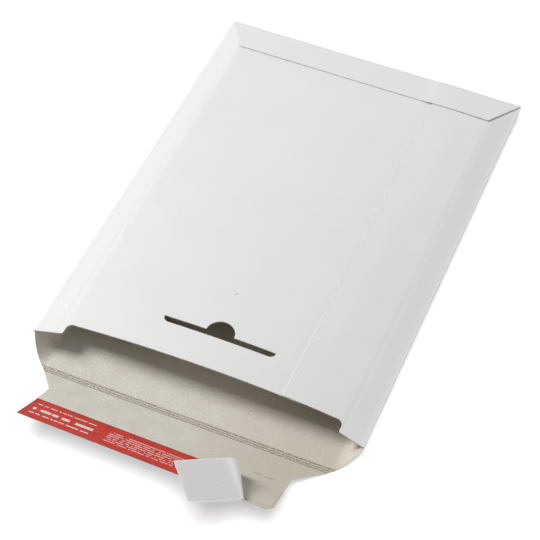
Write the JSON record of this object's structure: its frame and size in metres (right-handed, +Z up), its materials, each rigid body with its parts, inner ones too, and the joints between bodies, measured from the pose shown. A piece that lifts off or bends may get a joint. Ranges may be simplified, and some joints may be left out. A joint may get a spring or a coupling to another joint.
{
  "type": "cardboard envelope",
  "caption": "Flat mailing envelope of folded solid board with an open mouth, a tuck slot, and a scored closing flap that carries an adhesive strip and a peeling red release liner.",
  "frame": {"origin": "centre of the bottom panel's flat underside", "axes": "+X across the envelope, +Y from the mouth to the rear fold, +Z up from the surface it lies on"},
  "size_m": [0.25, 0.4579, 0.0552],
  "materials": {
    "board": "matt white outside, grey-beige inside",
    "adhesive": "glossy, almost clear",
    "liner": "satin red top, white underside"
  },
  "bodies": {
    "envelope": {"envelope_body": "board"},
    "flap": {"closing_flap": "board", "adhesive_strip": "adhesive", "release_liner": "liner"}
  },
  "joints": [
    {"name": "flap_hinge", "type": "hinge", "parent": "envelope", "child": "flap", "pos_m": [0, -0.17255, 0.0007], "axis": [-1, 0, 0], "range_deg": [-28.7, 109.6]}
  ]
}
